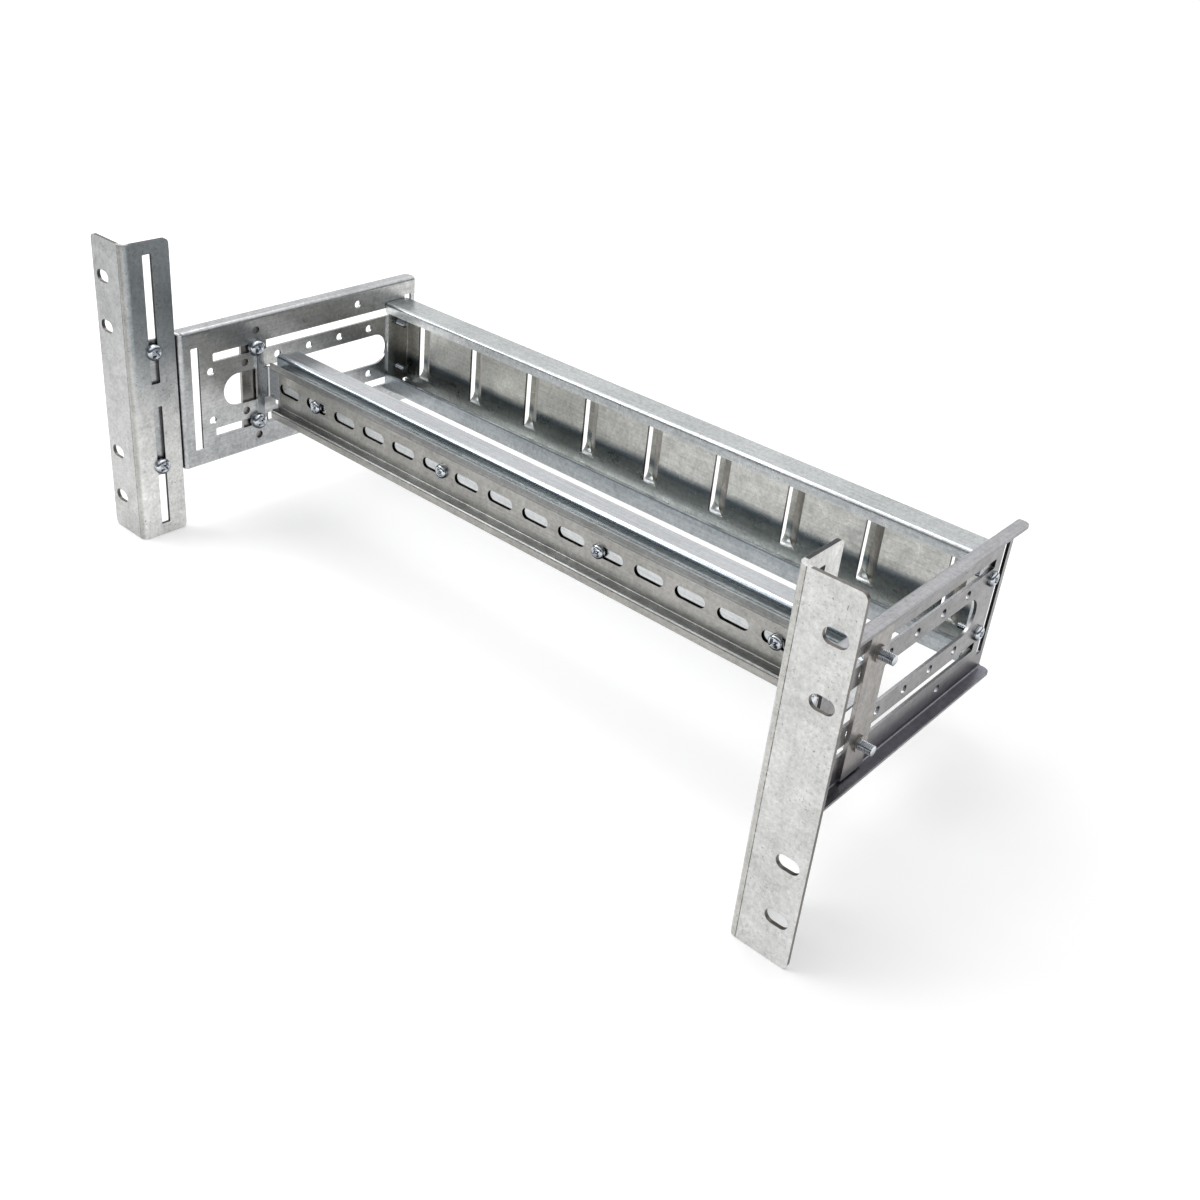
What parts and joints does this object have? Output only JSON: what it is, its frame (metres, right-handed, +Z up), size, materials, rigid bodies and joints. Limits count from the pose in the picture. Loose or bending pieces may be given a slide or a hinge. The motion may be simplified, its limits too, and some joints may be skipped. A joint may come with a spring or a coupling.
{
  "type": "rack-mount din rail panel",
  "caption": "Rack-mount frame of folded galvanised steel that holds a slotted top-hat rail between two side plates, with adjustable rack brackets and a louvred rear crossmember.",
  "frame": {"origin": "centre of the rack hole pattern, on the front face of the rack flanges", "axes": "+X across the rack, +Y into the rack, +Z up"},
  "size_m": [0.4826, 0.2069, 0.177],
  "materials": {
    "bracket_steel": "galvanised sheet, matt and mottled",
    "plate_steel": "galvanised sheet, satin",
    "strip_steel": "galvanised bar, satin",
    "crossbar_steel": "galvanised sheet, satin",
    "crossmember_steel": "galvanised sheet, satin and mottled",
    "rail_steel": "zinc-plated strip, satin",
    "screw_zinc": "bright zinc plate",
    "nut_zinc": "bright zinc plate"
  },
  "bodies": {
    "root": {"right_rack_bracket": "bracket_steel", "left_rack_bracket": "bracket_steel", "right_side_plate": "plate_steel", "left_side_plate": "plate_steel", "right_clamp_strip": "strip_steel", "left_clamp_strip": "strip_steel", "front_crossbar": "crossbar_steel", "rear_crossmember": "crossmember_steel", "din_rail": "rail_steel", "left_lower_bracket_screw": "screw_zinc", "left_lower_bracket_nut": "nut_zinc", "left_lower_crossbar_screw": "screw_zinc", "left_lower_crossmember_screw": "screw_zinc", "left_upper_bracket_screw": "screw_zinc", "left_upper_bracket_nut": "nut_zinc", "left_upper_crossbar_screw": "screw_zinc", "left_upper_crossmember_screw": "screw_zinc", "right_lower_bracket_screw": "screw_zinc", "right_lower_bracket_nut": "nut_zinc", "right_lower_crossbar_screw": "screw_zinc", "right_lower_crossmember_screw": "screw_zinc", "right_upper_bracket_screw": "screw_zinc", "right_upper_bracket_nut": "nut_zinc", "right_upper_crossbar_screw": "screw_zinc", "right_upper_crossmember_screw": "screw_zinc", "left_outer_rail_screw": "screw_zinc", "left_outer_rail_nut": "nut_zinc", "left_inner_rail_screw": "screw_zinc", "left_inner_rail_nut": "nut_zinc", "right_inner_rail_screw": "screw_zinc", "right_inner_rail_nut": "nut_zinc", "right_outer_rail_screw": "screw_zinc", "right_outer_rail_nut": "nut_zinc"}
  },
  "joints": []
}
